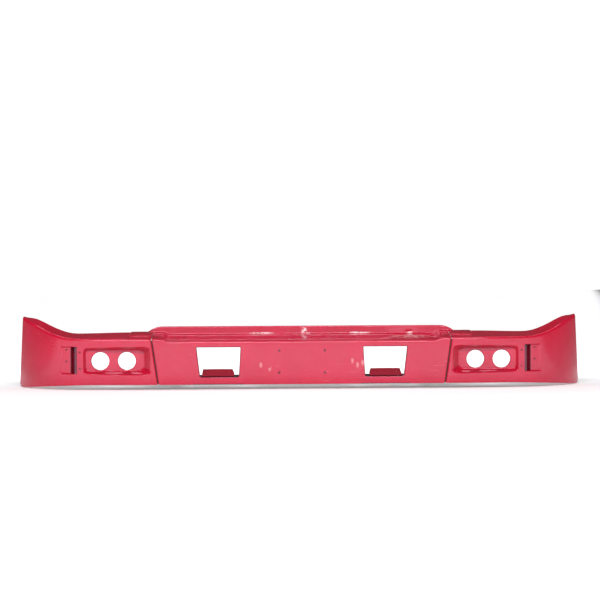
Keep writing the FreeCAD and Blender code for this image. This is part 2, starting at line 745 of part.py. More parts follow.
def upper_rail():
    """C-section welded under the tread, open to the front."""
    def underside(depth):
        return dim("face_height") + RISE * depth - GAUGE / cosine(SLOPE)

    front = dim("upper_rail_front")
    back = dim("tread_depth") - dim("rail_setback")
    low = dim("upper_rail_low")
    toe = dim("upper_rail_lip")
    return rail("upper_rail", [
        (front, underside(front)), (front, underside(front) - GAUGE),
        (back - GAUGE, underside(back - GAUGE) - GAUGE), (back - GAUGE, low + GAUGE),
        (toe, low + GAUGE), (toe, low), (back, low), (back, underside(back))])


# --- chassis brackets, wing brackets and stays -------------------------------------------------------------
def right_chassis_bracket():
    """Two welded cheeks and the drilled rear plate that bolts to the chassis."""
    plate = dim("bracket_plate")
    inner = dim("bracket_inner")
    outer = dim("bracket_outer")
    back = dim("overall_depth")
    heights = (dim("bracket_low"), dim("bracket_high"))
    cheeks = [box(f"cheek_{index}", (across, across + plate), (GAUGE, back), heights)
              for index, across in enumerate((inner, outer - plate))]
    rear = box("bracket_rear", (inner, outer), (back - plate, back), heights)
    drills = [cylinder(f"bracket_drill_{side}_{level}", dim("bracket_hole_radius"), plate * 3,
                       bracket_centre()[0] + dim("bracket_hole_span") / 2 * side, back - plate * 2,
                       bracket_centre()[1] + dim("bracket_hole_rise") / 2 * level)
              for side in (-1, 1) for level in (-1, 1)]
    return cut("right_chassis_bracket", join("bracket_body", cheeks + [rear]),
               join("bracket_drills", drills))


def bracket_centre():
    return ((dim("bracket_inner") + dim("bracket_outer")) / 2,
            (dim("bracket_low") + dim("bracket_high")) / 2)


def right_wing_bracket():
    """Gusset plate on the back of the wing, square to the bumper, where both stays end."""
    across = dim("wing_bracket_reach")
    far_side = across + dim("stay_gauge")
    return box("right_wing_bracket", (across, far_side),
               (corner_depth(far_side, GAUGE), dim("tread_depth")),
               (dim("wing_bracket_low"), dim("wing_bracket_high")))


def right_stay(level):
    """An angle from the chassis bracket's cheek to the wing bracket."""
    span = (dim("bracket_outer"), dim("wing_bracket_reach"))
    depth = dim("stay_depth")
    height = dim(f"{level}_stay_height")
    leg = dim("stay_leg")
    thick = dim("stay_gauge")
    upright = box(f"{level}_stay_upright", span, (depth, depth + thick), (height, height + leg))
    flat = box(f"{level}_stay_flat", span, (depth, depth + leg), (height, height + thick))
    return join(f"right_{level}_stay", [upright, flat])


# --- captive nuts ------------------------------------------------------------------------------------------
def ring_nut(name, radius, hole, length, across, depth, height, turn=ALONG_Y):
    body = hexagon(name + "_body", radius, length, across, depth, height, turn)
    thread = cylinder(name + "_thread", hole, length, across, depth, height, turn)
    return cut(name, body, thread)


def plate_nuts():
    nuts = [ring_nut(f"plate_nut_{side}_{level}", dim("clip_nut"), dim("plate_hole_radius"),
                     dim("clip_nut_height"), dim("plate_hole_reach") * side, GAUGE,
                     dim(f"plate_hole_{level}")) for side in (-1, 1) for level in ("low", "high")]
    return group("plate_nuts", nuts)


def marker_nuts():
    nuts = [ring_nut(f"marker_nut_{side}_{index}", dim("marker_nut"), dim("marker_hole_radius"),
                     dim("marker_nut_height"), across * side, depth + GAUGE, height)
            for side in (-1, 1) for index, (across, height, depth) in enumerate(marker_points())]
    return group("marker_nuts", nuts)


def tongue_nuts():
    turn = Rotation(Vector(1, 0, 0), dim("tongue_slope").value)
    under = tongue_point(-dim("tongue_nut_height"))
    nuts = [ring_nut(f"tongue_nut_{side}_{place}", dim("tongue_nut"), dim("tongue_hole_radius"),
                     dim("tongue_nut_height"), dim(f"tongue_hole_{place}") * side, *under, turn)
            for side in (-1, 1) for place in ("inner", "outer")]
    return group("tongue_nuts", nuts)


# --- assembly ----------------------------------------------------------------------------------------------
nodes = [centre_panel(), upper_lip(), lower_rail(), upper_rail(), lip_ribs()]
for right in (right_wing(), right_strap(), right_tongue(), right_chassis_bracket(),
              right_wing_bracket(), right_stay("upper"), right_stay("lower")):
    nodes += [right, mirrored(right.Label.replace("right", "left"), right)]
nodes += [seam_strip(side, name) for side, name in ((-1, "left_seam_strip"), (1, "right_seam_strip"))]
nodes += seam_fasteners()
nodes += [plate_nuts(), marker_nuts(), tongue_nuts()]

doc.recompute()
for item in doc.Objects:
    if "Invalid" in item.State or "Error" in item.State:
        raise RuntimeError(f"{item.Label} failed: {item.State}")
os.makedirs("parts", exist_ok=True)
for node in nodes:
    if node.Shape.isNull() or not node.Shape.isValid() or not node.Shape.Solids:
        raise RuntimeError(f"{node.Label} has no valid solid")
for node in nodes:
    node.Shape.exportStep(f"parts/{node.Label}.step")
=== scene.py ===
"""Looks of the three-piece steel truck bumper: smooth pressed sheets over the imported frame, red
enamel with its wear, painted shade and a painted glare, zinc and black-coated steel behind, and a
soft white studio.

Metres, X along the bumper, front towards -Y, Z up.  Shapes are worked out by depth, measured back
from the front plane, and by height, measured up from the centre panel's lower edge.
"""
import json
import math

import bmesh
import bpy
import numpy as np
from mathutils import Matrix, Quaternion, Vector


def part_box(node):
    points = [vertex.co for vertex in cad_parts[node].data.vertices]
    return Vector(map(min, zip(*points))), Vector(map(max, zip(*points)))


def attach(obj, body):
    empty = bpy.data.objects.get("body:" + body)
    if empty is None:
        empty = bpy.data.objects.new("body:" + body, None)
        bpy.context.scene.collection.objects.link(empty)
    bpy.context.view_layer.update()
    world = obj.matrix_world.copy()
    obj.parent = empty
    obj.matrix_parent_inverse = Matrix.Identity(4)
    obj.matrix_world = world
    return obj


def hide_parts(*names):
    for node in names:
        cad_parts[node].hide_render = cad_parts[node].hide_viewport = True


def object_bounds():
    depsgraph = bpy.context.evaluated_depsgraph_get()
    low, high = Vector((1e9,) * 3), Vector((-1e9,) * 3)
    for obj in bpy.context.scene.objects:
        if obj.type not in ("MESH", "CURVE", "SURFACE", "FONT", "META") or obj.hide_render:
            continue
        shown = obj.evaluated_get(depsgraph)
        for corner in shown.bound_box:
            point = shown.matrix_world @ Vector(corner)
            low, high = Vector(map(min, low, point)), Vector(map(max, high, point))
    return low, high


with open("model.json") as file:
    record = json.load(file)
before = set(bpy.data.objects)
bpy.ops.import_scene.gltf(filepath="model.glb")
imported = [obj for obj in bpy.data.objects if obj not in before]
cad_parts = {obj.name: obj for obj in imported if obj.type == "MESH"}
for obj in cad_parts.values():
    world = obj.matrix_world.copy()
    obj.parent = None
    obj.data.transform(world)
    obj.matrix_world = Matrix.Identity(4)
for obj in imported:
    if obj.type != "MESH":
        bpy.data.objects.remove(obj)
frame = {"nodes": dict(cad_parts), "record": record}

low_corner, high_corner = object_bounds()
FRONT = low_corner.y
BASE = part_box("centre_panel")[0].z
HALF = high_corner.x
NODES = frame["nodes"]
MOUNTS = {mount["name"]: mount for mount in frame["record"]["mounts"]}

# --- sizes of the sheets ---------------------------------------------------------------------------
GAUGE = 0.003
FLANGE = 0.030
SEAM_FOOT, SEAM_HEAD, SEAM_TOP, HALF_GAP = 0.612, 0.640, 0.195, 0.002
FACE_TOP, SHOULDER = 0.185, 0.195
TREAD_REACH, SHOULDER_REACH = 0.573, 0.597
TREAD_DEPTH = 0.110
TREAD_SLOPE = math.radians(13)
RISE = math.tan(TREAD_SLOPE)
SWEEP_START, SWEEP_END, SWEEP_RADIUS, CORNER_RADIUS = 0.600, 0.960, 2.587, 0.412
TIP_REACH, TIP_HEIGHT, TIP_CORNER, TIP_DROP = 1.222, 0.247, 0.012, 0.022
TIP_INSET = 0.009
DEEPEST = high_corner.y - FRONT - 0.0005
TOP_FOLD, EDGE_ROLL, HEM_ROLL, LAMP_ROLL = 0.009, 0.006, 0.0045, 0.003
POCKET_FLOOR, POCKET_INNER, POCKET_OUTER, POCKET_FOOT, POCKET_HEAD = 0.040, 0.645, 0.930, 0.044, 0.162
POCKET_DRAFT, POCKET_INNER_DRAFT = 16, 35
GROOVE_FLOOR, GROOVE_INNER, GROOVE_OUTER, GROOVE_FOOT, GROOVE_HEAD = 0.056, 0.9595, 0.976, 0.047, 0.163
GROOVE_MOUTH, GROOVE_END_MOUTH, GROOVE_STEEPNESS, GROOVE_OUTER_DRAFT = 0.0253, 0.026, 7.0, 32
PAD_INSET, PAD_START, PAD_OUTER, PAD_FOOT, PAD_HEAD = 0.008, 0.975, 1.034, 0.046, 0.164
PAD_OUTER_STEEPNESS, PAD_END_STEEPNESS = 1.6, 2.4
SILL, APERTURE_TOP, APERTURE_RETURN = 0.033, 0.159, 0.009
LAMP_RETURN = 0.009
APERTURE_INNER, APERTURE_INNER_LEAN, APERTURE_OUTER, APERTURE_OUTER_LEAN = 0.270, 0.008, 0.434, 0.015
SILL_ROUNDING, HEAD_ROUNDING = 0.008, 0.004
TONGUE_RISE = math.tan(math.radians(14.5))
TONGUE_INNER, TONGUE_OUTER, TONGUE_REACH = 0.290, 0.428, 0.100
TIP_RAKE = (HALF - TIP_REACH) / (TIP_HEIGHT - TIP_CORNER + TIP_DROP)
LIP_HEIGHT, LIP_REACH, LIP_FLAT, LIP_SHOULDER, LIP_BACK = 0.245, 0.666, 0.603, 0.222, 0.135
MARKER_HOLES = ((0.946, 0.070), (0.946, 0.140), (1.006, 0.100), (1.006, 0.150))
PLATE_HOLES = [(0.097 * side, height) for side in (-1, 1) for height in (0.050, 0.144)]
TONGUE_HOLES = ((0.318, 0.060), (0.408, 0.060))
MARKER_HOLE, PLATE_HOLE, TONGUE_HOLE = 0.0025, 0.0035, 0.0055
FOOT_ROWS, TOP_ROWS, FOLD_ROWS, SHELF_ROWS = 8, 10, 10, 25
WALL_STEPS = 5
FOLD_PASSES, SHELF_PASSES = 6, 4
LEAST_SHELF, MERGE_DISTANCE = 0.0006, 2e-5
SHARP_ANGLE = math.radians(40)


def mount_place(name):
    """A mount's place across, in depth and in height."""
    x, y, z = MOUNTS[name]["pos_m"]
    return x, y - FRONT, z - BASE


# --- shape functions -------------------------------------------------------------------------------
def smooth_max(a, b, blend):
    near = np.maximum(blend - np.abs(a - b), 0) / blend
    return np.maximum(a, b) + near * near * blend / 4


def smooth_min(a, b, blend):
    return -smooth_max(-a, -b, blend)


def smooth_step(value, start, end):
    share = np.clip((value - start) / (end - start), 0, 1)
    return share * share * (3 - 2 * share)


def arc_rise(run, radius):
    """How far an arc has left its tangent after a run along it."""
    return radius - np.sqrt(radius ** 2 - np.clip(run, -radius, radius) ** 2)


SWEEP_SINE = (SWEEP_END - SWEEP_START) / SWEEP_RADIUS
CORNER_X = SWEEP_END - CORNER_RADIUS * SWEEP_SINE
CORNER_Y = (arc_rise(SWEEP_END - SWEEP_START, SWEEP_RADIUS)
            + CORNER_RADIUS * math.sqrt(1 - SWEEP_SINE ** 2))


def face_depth(x, inset=0.0):
    """Depth in plan of the face, or of a surface set in from it: flat, swept, then cornering."""
    sweep_run = np.clip(x - SWEEP_START, 0, SWEEP_END - SWEEP_START)
    sweep = SWEEP_RADIUS - np.sqrt((SWEEP_RADIUS - inset) ** 2 - sweep_run ** 2)
    corner_run = np.clip(x - CORNER_X, 0, CORNER_X)
    corner = CORNER_Y - np.sqrt(np.maximum((CORNER_RADIUS - inset) ** 2 - corner_run ** 2, 0))
    return np.where(x > SWEEP_END, corner, sweep)


def seam_at(height):
    return SEAM_FOOT + (SEAM_HEAD - SEAM_FOOT) * height / SEAM_TOP


def panel_top(x):
    """The centre panel's top edge: the tread is recessed between two shoulders."""
    return FACE_TOP + (SHOULDER - FACE_TOP) * smooth_step(np.abs(x), TREAD_REACH, SHOULDER_REACH)


def wing_top(x):
    """The wing's top edge at the front plane: level, then flaring up to the tip."""
    flare_end, flare_radius, end_radius, end_run = 1.110, 0.438, 0.602, 0.13
    settle_start, settle = 0.745, 0.0035
    level = SHOULDER - settle * smooth_step(x, settle_start, SWEEP_END)
    flare = arc_rise(np.clip(x - SWEEP_END, 0, flare_end - SWEEP_END), flare_radius)
    turn = math.asin((flare_end - SWEEP_END) / flare_radius)
    beyond = np.clip(x - flare_end, 0, end_run)
    easing = math.sin(turn) * end_radius
    crown = np.sqrt(end_radius ** 2 - (beyond - easing) ** 2) - math.cos(turn) * end_radius
    return level + flare + crown


def wing_foot(x):
    """The wing's lower edge, drooping to the tip and rounded off at its corner."""
    droop_start, droop_radius = 0.850, 3.258
    droop = arc_rise(np.clip(x - droop_start, 0, None), droop_radius)
    corner = arc_rise(np.clip(x - (HALF - TIP_CORNER), 0, TIP_CORNER), TIP_CORNER)
    return corner - np.minimum(droop, TIP_DROP)


def wing_back(x):
    """Depth of the shelf's rear edge, drawn in to the tip's corner."""
    start, narrowing, radius = 0.950, 1.182, 0.4245
    curve = TREAD_DEPTH + arc_rise(np.clip(x - start, 0, narrowing - start), radius)
    tip = np.clip((x - narrowing) / (TIP_REACH - narrowing), 0, 1)
    corner = face_depth(np.maximum(x, TIP_REACH), TIP_INSET)
    return np.minimum(curve * (1 - tip) + corner * tip, DEEPEST)


def flare_twist(x):
    """Extra slope of the flare's shelf, faded out again before the tip."""
    return 0.16 * smooth_step(x, 0.980, 1.130) * (1 - smooth_step(x, 1.150, 1.205))


def pocket_depth(x, z):
    """The lamp pocket's own surface: four drafted walls and a floor."""
    draft = 1 / math.tan(math.radians(POCKET_DRAFT))
    inner = (x - POCKET_INNER) / math.tan(math.radians(POCKET_INNER_DRAFT))
    outer = face_depth(np.full_like(x, POCKET_OUTER)) + (POCKET_OUTER - x) * draft
    ends = smooth_min((z - POCKET_FOOT) * draft, (POCKET_HEAD - z) * draft, 0.016)
    pocket = smooth_min(smooth_min(inner, outer, 0.016), ends, 0.060)
    return smooth_min(pocket, np.full_like(x, POCKET_FLOOR), 0.014)


def groove_depth(x, z):
    """The marker lamp's groove: steep inboard and at its ends, sloped outboard."""
    inner = GROOVE_MOUTH + (x - GROOVE_INNER) * GROOVE_STEEPNESS
    outer = GROOVE_FLOOR - (x - GROOVE_OUTER) / math.tan(math.radians(GROOVE_OUTER_DRAFT))
    ends = smooth_min((z - GROOVE_FOOT) * GROOVE_STEEPNESS, (GROOVE_HEAD - z) * GROOVE_STEEPNESS,
                      0.01) + GROOVE_END_MOUTH
    groove = smooth_min(smooth_min(inner, outer, 0.008), ends, 0.014)
    return smooth_min(groove, np.full_like(x, GROOVE_FLOOR), 0.005)


def pad_depth(x, z, face):
    """The shallow pad outboard of the groove, which follows the face."""
    ends = smooth_min((z - PAD_FOOT) * PAD_END_STEEPNESS, (PAD_HEAD - z) * PAD_END_STEEPNESS,
                      0.01) + face
    outer = face + (PAD_OUTER - x) * PAD_OUTER_STEEPNESS
    pad = smooth_min(smooth_min(outer, ends, 0.010), face + PAD_INSET, 0.004)
    return np.where(x < PAD_START, face, pad)


def pressed_depth(x, z):
    """Depth of the wing's face with its lamp pocket, marker groove and marker pad pressed in."""
    face = face_depth(x)
    depth = smooth_max(face, pocket_depth(x, z), 0.011)
    depth = smooth_max(depth, pad_depth(x, z, face), 0.002)
    return smooth_max(depth, groove_depth(x, z), 0.005)


# --- building sheets ---------------------------------------------------------------------------------
class Skin:
    """The outer surface of a sheet, made of grids and strips, thickened behind at the end."""

    def __init__(self):
        self.points = []
        self.faces = []

    def add_points(self, points):
        start = len(self.points)
        self.points.extend(tuple(float(v) for v in point) for point in points)
        return list(range(start, len(self.points)))

    def grid(self, rows, skip=None):
        """Rows of (across, depth, height) arrays; skip marks cells that stay open."""
        across, depth, height = (np.array([row[axis] for row in rows]) for axis in range(3))
        count, width = across.shape
        index = np.array(self.add_points(zip(across.ravel(), depth.ravel(), height.ravel())))
        index = index.reshape(count, width)
        corners = np.stack([index[:-1, :-1], index[:-1, 1:], index[1:, 1:], index[1:, :-1]], -1)
        kept = np.ones(corners.shape[:2], bool) if skip is None else ~skip
        self.faces.extend(map(tuple, corners[kept].tolist()))
        return index

    def strip(self, first, second, closed=True):
        """Faces between two lines of points."""
        count = len(first)
        for place in range(count if closed else count - 1):
            after = (place + 1) % count
            self.faces.append((first[place], first[after], second[after], second[place]))

    def wall(self, edge, back_of, steps):
        """A flange carried straight back from an edge to the depth that back_of(x) gives."""
        last = edge
        starts = [self.points[i] for i in edge]
        for share in np.linspace(0, 1, steps + 1)[1:]:
            ring = self.add_points((x, y + (float(back_of(x)) - y) * share, z)
                                   for x, y, z in starts)
            self.strip(ring, last, closed=False)
            last = ring

    def hem(self, index, skip, outline, profile):
        """Snaps a hole's rim on to its outline and rolls it back along (inset, extra depth)."""
        near_open = np.zeros(index.shape, bool)
        near_kept = np.zeros(index.shape, bool)
        rows, columns = skip.shape
        for down in (0, 1):
            for along in (0, 1):
                target = (slice(down, rows + down), slice(along, columns + along))
                near_open[target] |= skip
                near_kept[target] |= ~skip
        rim = index[near_open & near_kept]
        start = np.array([self.points[i] for i in rim])
        middle = start.mean(0)
        order = np.argsort(np.arctan2(start[:, 2] - middle[2], start[:, 0] - middle[0]))
        rim, start = rim[order].tolist(), start[order]
        start[:, 1] = np.median(start[:, 1])
        for i, (x, y, z) in zip(rim, start):
            across, height = outline(x, z, profile[0][0])
            self.points[i] = (float(across), float(y), float(height))
        last = rim
        for inset, extra in profile[1:]:
            ring = []
            for x, y, z in start:
                across, height = outline(x, z, inset)
                ring.append((across, y + extra, height))
            ring = self.add_points(ring)
            self.strip(last, ring)
            last = ring

    def build(self, name, mirrored=False, both=False, gauge=GAUGE):
        """The finished piece in the frame's own places, smooth-shaded, with its thickness."""
        points = np.array(self.points) + (0, FRONT, BASE)
        faces = self.faces
        if both:
            other = points * (-1, 1, 1)
            faces = faces + [tuple(i + len(points) for i in face[::-1]) for face in faces]
            points = knocked(np.concatenate([points, other]))
        if mirrored:
            points = points * (-1, 1, 1)
            faces = [face[::-1] for face in faces]
        mesh = bpy.data.meshes.new(name)
        mesh.from_pydata(points.tolist(), [], faces)
        work = bmesh.new()
        work.from_mesh(mesh)
        bmesh.ops.remove_doubles(work, verts=work.verts, dist=MERGE_DISTANCE)
        loose = [vertex for vertex in work.verts if not vertex.link_faces]
        bmesh.ops.delete(work, geom=loose, context="VERTS")
        work.to_mesh(mesh)
        work.free()
        return finish_mesh(name, mesh, gauge)


def knocked(points):
    """The tread pushed up in a long shallow bulge toward its right end."""
    x, depth = points[:, 0], points[:, 1] - FRONT
    bulge, first, width, waviness, wave_rate, lowest = 0.0036, 0.012, 0.086, 0.25, 95.0, 0.18
    along = smooth_step(x, 0.350, 0.430) * (1 - smooth_step(x, 0.545, 0.585))
    inward = np.sin(np.clip((depth - first) / width, 0, 1) * math.pi) ** 2
    ripple = 1 + waviness * np.sin(x * wave_rate)
    points[:, 2] += np.where(points[:, 2] > BASE + lowest, bulge * along * inward * ripple, 0)
    return points


def apply_modifier(piece, name, kind, **settings):
    modifier = piece.modifiers.new(name, kind)
    for key, value in settings.items():
        setattr(modifier, key, value)
    bpy.context.view_layer.objects.active = piece
    bpy.ops.object.modifier_apply(modifier=name)


def finish_mesh(name, mesh, gauge=None):
    """Links a mesh as a piece, gives it its thickness and smooths it between sharp edges."""
    piece = bpy.data.objects.new(name, mesh)
    bpy.context.scene.collection.objects.link(piece)
    if gauge:
        apply_modifier(piece, "gauge", "SOLIDIFY", thickness=gauge, offset=-1,
                       use_even_offset=True, use_quality_normals=True)
    for other in bpy.context.selected_objects:
        other.select_set(False)
    piece.select_set(True)
    bpy.context.view_layer.objects.active = piece
    bpy.ops.object.shade_smooth_by_angle(angle=SHARP_ANGLE)
    piece.select_set(False)
    return piece


def steps_between(marks):
    """Places through a list of (end, step) spans, the first mark being the start."""
    places = [marks[0]]
    for end, step in marks[1:]:
        count = max(1, round((end - places[-1]) / step))
        places.extend(np.linspace(places[-1], end, count + 1)[1:].tolist())
    return places


def roll_places(start, radius, count=6):
    """Places crowding toward a rolled edge, so that the roll is round."""
    return [start + radius * (1 - math.cos(turn))
            for turn in np.linspace(0, math.pi / 2, count)[:-1]]


def roll_edges(x, y, z, to_side, to_foot, inward):
    """Turns a face back round its side and foot, and rounds the corner between them."""
    side = np.clip(EDGE_ROLL - to_side, 0, EDGE_ROLL)
    foot = np.clip(EDGE_ROLL - to_foot, 0, EDGE_ROLL)
    reach = np.hypot(side, foot)
    shrink = np.where(reach > EDGE_ROLL, EDGE_ROLL / np.maximum(reach, 1e-9), 1)
    back = EDGE_ROLL - np.sqrt(EDGE_ROLL ** 2 - np.minimum(reach, EDGE_ROLL) ** 2)
    return x + inward * side * (1 - shrink), y + back, z + foot * (1 - shrink)


def hem_profile(roll, length):
    """A rim's roll from the face into the hole, then straight back."""
    turns = np.linspace(0, math.pi / 2, 6)
    profile = [(-roll * (1 - math.sin(turn)), roll * (1 - math.cos(turn))) for turn in turns]
    return profile + [(0.0, length)]


def section(us, across, foot, top, plan, depth_of, back_of, marks, side_gap, inward, twist):
    """Rows of a sheet from its foot to its shelf's rear edge, for columns us."""
    rows = []
    zs = [foot(us) + rise for rise in roll_places(0.0, EDGE_ROLL)]
    fixed = steps_between(marks)
    start = foot(us) + EDGE_ROLL
    zs += [start + (fixed[0] - start) * share for share in np.linspace(0, 1, FOOT_ROWS + 1)[:-1]]
    zs += [np.full_like(us, height) for height in fixed]

    def surface(x, depth):
        return top(x) + RISE * depth + twist(x) * (depth - plan(x, 0.0))

    def settled(u, inset, drop):
        """Across, depth and height where a set-in plan line meets the shelf's surface."""
        x, z = u, top(u)
        for _ in range(FOLD_PASSES):
            z = surface(x, plan(x, inset)) - drop
            x = across(u, z)
        return x, plan(x, inset), z

    fold_z = settled(us, 0.0, TOP_FOLD)[2]
    last = zs[-1]
    for share in np.linspace(0, 1, TOP_ROWS + 1)[1:-1]:
        zs.append(last + (fold_z - last) * share)
    for z in zs:
        x = across(us, z)
        row = roll_edges(x, depth_of(x, z), z, side_gap(us), z - foot(us), inward)
        rows.append(row)
    for turn in np.linspace(0, math.pi / 2, FOLD_ROWS):
        inset = TOP_FOLD * (1 - math.cos(turn))
        x, y, z = settled(us, inset, TOP_FOLD * (1 - math.sin(turn)))
        fade = 1 - turn / (math.pi / 2)
        side = np.clip(EDGE_ROLL - side_gap(us), 0, EDGE_ROLL)
        y = y + (EDGE_ROLL - np.sqrt(EDGE_ROLL ** 2 - side ** 2)) * fade
        rows.append((x, y, z))
    start = rows[-1][1]
    for share in np.linspace(0, 1, SHELF_ROWS + 1)[1:]:
        x = rows[-1][0]
        for _ in range(SHELF_PASSES):
            depth = start + np.maximum(back_of(x) - start, LEAST_SHELF) * share
            x = across(us, surface(x, depth))
        rows.append((x, depth, surface(x, depth)))
    return rows, len(zs)


def circle_outline(centre_x, centre_z, radius):
    def place(x, z, inset):
        away = math.hypot(x - centre_x, z - centre_z)
        reach = (radius - inset) / away
        return centre_x + (x - centre_x) * reach, centre_z + (z - centre_z) * reach
    return place


def cell_middles(rows):
    """Across and height of each grid cell's middle."""
    across = np.array([row[0] for row in rows])
    height = np.array([row[2] for row in rows])
    return tuple((grid[:-1, :-1] + grid[1:, :-1] + grid[:-1, 1:] + grid[1:, 1:]) / 4
                 for grid in (across, height))


# --- wings ---------------------------------------------------------------------------------------------
def wing_skin():
    """The right wing's outer surface."""
    start = SEAM_FOOT + HALF_GAP
    seam_reach, tip_reach = 0.12, 0.100
    us = np.array(roll_places(start, EDGE_ROLL)
                  + steps_between([start + EDGE_ROLL, (0.640, 0.004), (1.040, 0.0024),
                                   (1.212, 0.006), (HALF - TIP_CORNER, 0.004)])
                  + [HALF - TIP_CORNER * math.cos(turn)
                     for turn in np.linspace(0, math.pi / 2, 7)[1:]])

    def across(u, z):
        near_seam = np.clip(1 - (u - start) / seam_reach, 0, 1)
        near_tip = np.clip((u - HALF + tip_reach) / tip_reach, 0, 1)
        lift = np.clip(z + TIP_DROP - TIP_CORNER, 0, None)
        return u + (seam_at(z) - SEAM_FOOT) * near_seam - TIP_RAKE * lift * near_tip

    rows, face_rows = section(us, across, wing_foot, wing_top, face_depth, pressed_depth,
                              wing_back, [0.036, (0.170, 0.0024)], lambda u: u - start, 1,
                              flare_twist)
    skin = Skin()
    middle_x, middle_z = cell_middles(rows)
    holes = []
    skip = np.zeros(middle_x.shape, bool)
    for name in ("right_lamp_inner", "right_lamp_outer"):
        x, _, z = mount_place(name)
        radius = MOUNTS[name]["dims"]["r_mm"] / 1000
        here = np.hypot(middle_x - x, middle_z - z) < radius + LAMP_ROLL
        here[face_rows:] = False
        holes.append((here, circle_outline(x, z, radius)))
        skip |= here
    index = skin.grid(rows, skip)
    for here, outline in holes:
        skin.hem(index, here, outline, hem_profile(LAMP_ROLL, LAMP_RETURN))
    shelf_start = face_rows + FOLD_ROWS - 1
    edge = index[:shelf_start, 0][::-1].tolist() + index[0, 1:].tolist()
    skin.wall(edge, flange_back, WALL_STEPS)
    add_lap(skin, index[shelf_start:, 0].tolist())
    return skin


def flange_back(x):
    """How deep the wing's end and bottom flanges reach, never past the shelf's rear edge."""
    return min(face_depth(np.float64(x), FLANGE), wing_back(np.float64(x)))


def add_lap(skin, edge):
    """The shelf's joggle, stepped down from its seam edge to reach under the centre panel."""
    lap = [i for i in edge if skin.points[i][1] > FLANGE + GAUGE]
    last = lap
    for inboard, down in ((0.0, 0.004), (0.001, 0.0055), (0.009, 0.0055)):
        ring = skin.add_points((x - inboard, y, z - down)
                               for x, y, z in (skin.points[i] for i in lap))
        skin.strip(last, ring, closed=False)
        last = ring


# --- centre panel -----------------------------------------------------------------------------------------
def aperture_inner(z):
    return APERTURE_INNER - APERTURE_INNER_LEAN * (z - SILL) / (APERTURE_TOP - SILL)


def aperture_outer(z):
    return APERTURE_OUTER + APERTURE_OUTER_LEAN * (z - SILL) / (APERTURE_TOP - SILL)


def aperture_outline(x, z, inset):
    """Where a rim point lies on the aperture's rounded outline drawn in by an inset."""
    low = z - SILL < APERTURE_TOP - z
    near_inner = x - aperture_inner(z) < aperture_outer(z) - x
    aside = (x - aperture_inner(z) if near_inner else aperture_outer(z) - x) + HEM_ROLL
    above = (z - SILL if low else APERTURE_TOP - z) + HEM_ROLL
    rounding = SILL_ROUNDING if low else HEAD_ROUNDING
    start = rounding + HEM_ROLL
    if aside < start - 1e-6 and above < start - 1e-6:
        reach = (rounding - inset) / math.hypot(start - aside, start - above)
        aside = rounding - inset - (start - aside) * reach
        above = rounding - inset - (start - above) * reach
    else:
        aside = 0.0 if aside < 1e-6 else aside - inset - HEM_ROLL
        above = 0.0 if above < 1e-6 else above - inset - HEM_ROLL
    height = SILL + inset + above if low else APERTURE_TOP - inset - above
    if near_inner:
        return aperture_inner(height) + inset + aside, height
    return aperture_outer(height) - inset - aside, height


def panel_skin():
    """The right half of the centre panel."""
    end = SEAM_FOOT - HALF_GAP
    keys = [0.0, 0.200, aperture_inner(SILL) - HEM_ROLL, aperture_outer(SILL) + HEM_ROLL, 0.530, end]
    rolled = [2 * end - place for place in roll_places(end, EDGE_ROLL)][::-1]
    us = np.array(steps_between([keys[0], (keys[1], 0.008), (keys[2], 0.005),
                                 (keys[2] + 0.016, 0.002), (keys[3] - 0.016, 0.006),
                                 (keys[3], 0.002), (keys[4], 0.005), (0.568, 0.005),
                                 (0.601, 0.003), (end - EDGE_ROLL, 0.003)]) + rolled)

    def across(u, z):
        z = np.clip(np.broadcast_to(z, u.shape), 0, 0.300)
        places = np.array([keys[0] + 0 * z, keys[1] + 0 * z, aperture_inner(z) - HEM_ROLL,
                           aperture_outer(z) + HEM_ROLL, keys[4] + 0 * z, seam_at(z) - HALF_GAP])
        slot = np.clip(np.searchsorted(keys, u, side="right") - 1, 0, len(keys) - 2)
        share = (u - np.array(keys)[slot]) / np.diff(keys)[slot]
        column = np.arange(len(u))
        return places[slot, column] * (1 - share) + places[slot + 1, column] * share

    sill, head = SILL - HEM_ROLL, APERTURE_TOP + HEM_ROLL
    marks = [0.012, (sill, 0.005), (sill + 0.016, 0.002), (head - 0.016, 0.006), (head, 0.002),
             (0.170, 0.003)]
    rows, face_rows = section(us, across, np.zeros_like, panel_top,
                              lambda x, inset: np.full_like(x, inset),
                              lambda x, z: np.zeros_like(x),
                              lambda x: np.full_like(x, TREAD_DEPTH), marks,
                              lambda u: end - u, -1, np.zeros_like)
    skin = Skin()
    middle_x, middle_z = cell_middles(rows)
    skip = ((middle_x > aperture_inner(middle_z) - HEM_ROLL) & (middle_z > sill)
            & (middle_x < aperture_outer(middle_z) + HEM_ROLL) & (middle_z < head))
    skip[face_rows:] = False
    index = skin.grid(rows, skip)

    skin.hem(index, skip, aperture_outline, hem_profile(HEM_ROLL, APERTURE_RETURN))
    edge = index[0, :].tolist() + index[1:face_rows + FOLD_ROWS - 1, -1].tolist()
    skin.wall(edge, lambda x: FLANGE, WALL_STEPS)
    return skin


def tongue_skin():
    """The plate behind an aperture's sill, narrowed at its inner rear corner."""
    notch_start, notch, crowning = 0.050, 0.010, 0.0006
    rows = []
    us = np.array(steps_between([0.0, (1.0, 0.04)]))
    for depth in steps_between([APERTURE_RETURN, (notch_start, 0.006), (TONGUE_REACH, 0.005)]):
        left = TONGUE_INNER + notch * max(0.0, (depth - notch_start) / (TONGUE_REACH - notch_start))
        crown = crowning * np.sin(us * math.pi)
        rows.append((left + (TONGUE_OUTER - left) * us, np.full_like(us, depth),
                     SILL + TONGUE_RISE * depth + crown))
    skin = Skin()
    skin.grid(rows)
    return skin


